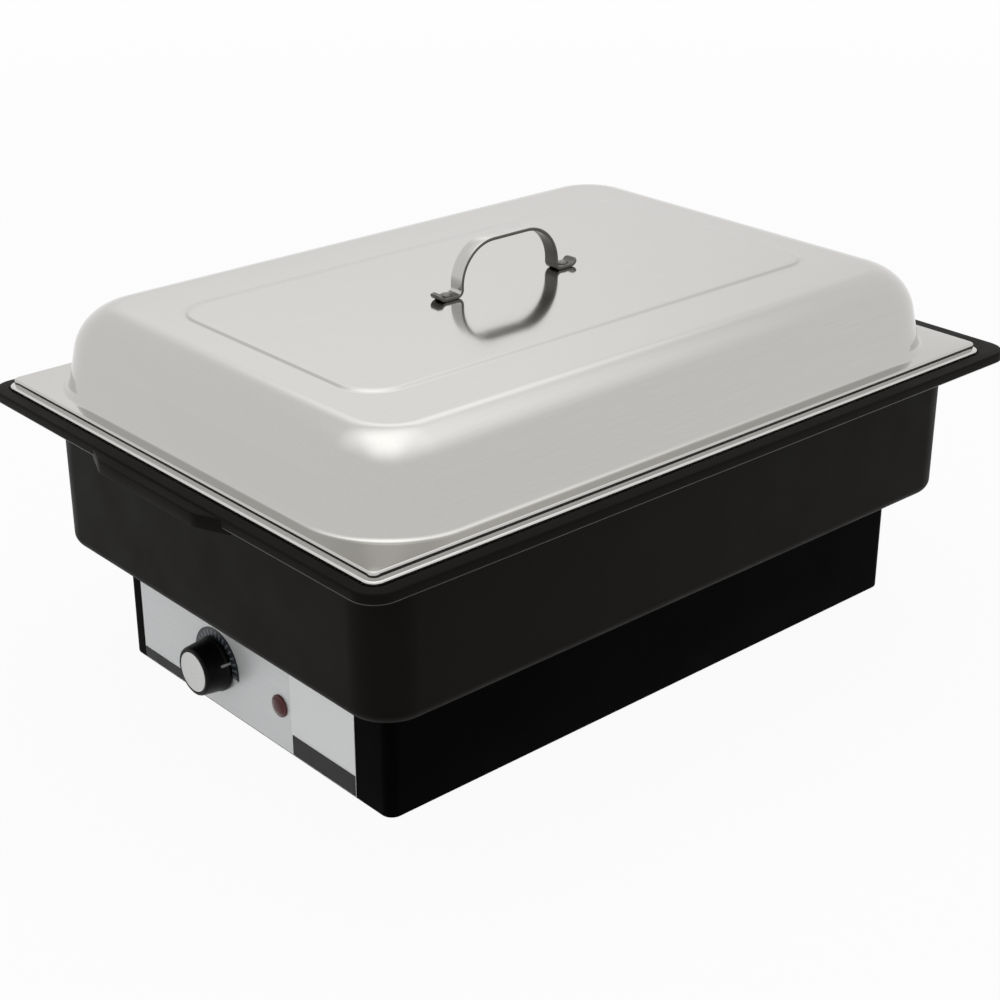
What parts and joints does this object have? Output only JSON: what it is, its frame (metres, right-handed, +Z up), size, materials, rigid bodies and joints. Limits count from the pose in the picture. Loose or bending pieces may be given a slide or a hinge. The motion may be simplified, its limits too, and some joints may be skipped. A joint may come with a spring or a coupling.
{
  "type": "electric chafing dish",
  "caption": "Rectangular electric food warmer: a black water tub on a narrower base with knob and lamp, a drop-in steel pan and a lift-off domed steel lid with a strap handle.",
  "frame": {"origin": "centre of the footprint of the whole dish, on the table under the rubber feet", "axes": "+Z up, +X along the length away from the end with the knob, -Y towards the side that the picture shows"},
  "size_m": [0.575, 0.405, 0.2889],
  "materials": {
    "tub_black": "fine grained warm black",
    "base_black": "smooth deep black",
    "cover_black": "satin black",
    "rubber_black": "matt",
    "zinc": "zinc plated",
    "fascia_silver": "satin silver",
    "film_dark": "printed film, no lettering",
    "lens_red": "clear tinted, gloss",
    "moulded_cream": "moulded",
    "ceramic_cream": "matt",
    "copper": "drawn tube",
    "plate_steel": "satin",
    "silicone_red": "matt",
    "element_steel": "heat darkened",
    "shield_aluminium": "mill",
    "bakelite_brown": "moulded",
    "brass": "turned",
    "wire_brown": "sleeved",
    "wire_black": "sleeved",
    "wire_blue": "sleeved",
    "wire_green": "sleeved",
    "wire_white": "sleeved",
    "gland_black": "moulded",
    "knob_black": "semi gloss",
    "cap_silver": "spun satin",
    "mark_white": "inlaid mark",
    "pan_steel": "bright satin",
    "lid_steel": "satin with a bright reflecting top",
    "handle_steel": "tumbled"
  },
  "bodies": {
    "dish_base": {"water_tub": "tub_black", "base_plinth": "base_black", "bottom_cover": "cover_black", "rubber_feet": "rubber_black", "cover_screws": "zinc", "tub_screws": "zinc", "control_panel": "fascia_silver", "dial_scale": "film_dark", "dark_bands": "film_dark", "lamp_lens": "lens_red", "lamp_body": "moulded_cream", "lamp_nut": "zinc", "thermostat_body": "ceramic_cream", "thermostat_screws": "zinc", "sensor_bulb": "copper", "bulb_clip": "zinc", "capillary_tube": "copper", "heater_plate": "plate_steel", "heater_gasket": "silicone_red", "heater_nuts": "zinc", "heating_element": "element_steel", "element_clamps": "zinc", "clamp_screws": "zinc", "heat_shield": "shield_aluminium", "thermal_cutout": "bakelite_brown", "terminal_block": "ceramic_cream", "terminal_screws": "brass", "earth_stud": "brass", "live_wire": "wire_brown", "switched_wire": "wire_black", "heater_wire": "wire_black", "neutral_wire": "wire_blue", "earth_wire": "wire_green", "lamp_wires": "wire_white", "cord_gland": "gland_black", "gland_nut": "gland_black"},
    "knob": {"knob_body": "knob_black", "knob_cap": "cap_silver", "knob_pointer": "mark_white", "thermostat_shaft": "zinc"},
    "food_pan": {"food_pan": "pan_steel"},
    "lid": {"lid_shell": "lid_steel", "lid_handle": "handle_steel", "handle_rivets": "handle_steel", "rivet_washers": "zinc"}
  },
  "joints": [
    {"name": "pan_lift", "type": "slide", "parent": "dish_base", "child": "food_pan", "axis": [0, 0, 1], "range_m": [0, 0.12]},
    {"name": "lid_lift", "type": "slide", "parent": "food_pan", "child": "lid", "axis": [0, 0, 1], "range_m": [0, 0.15]},
    {"name": "knob_turn", "type": "hinge", "parent": "dish_base", "child": "knob", "pos_m": [-0.2228, 0.0362, 0.0355], "axis": [1, 0, 0], "range_deg": [-168, 32]}
  ]
}
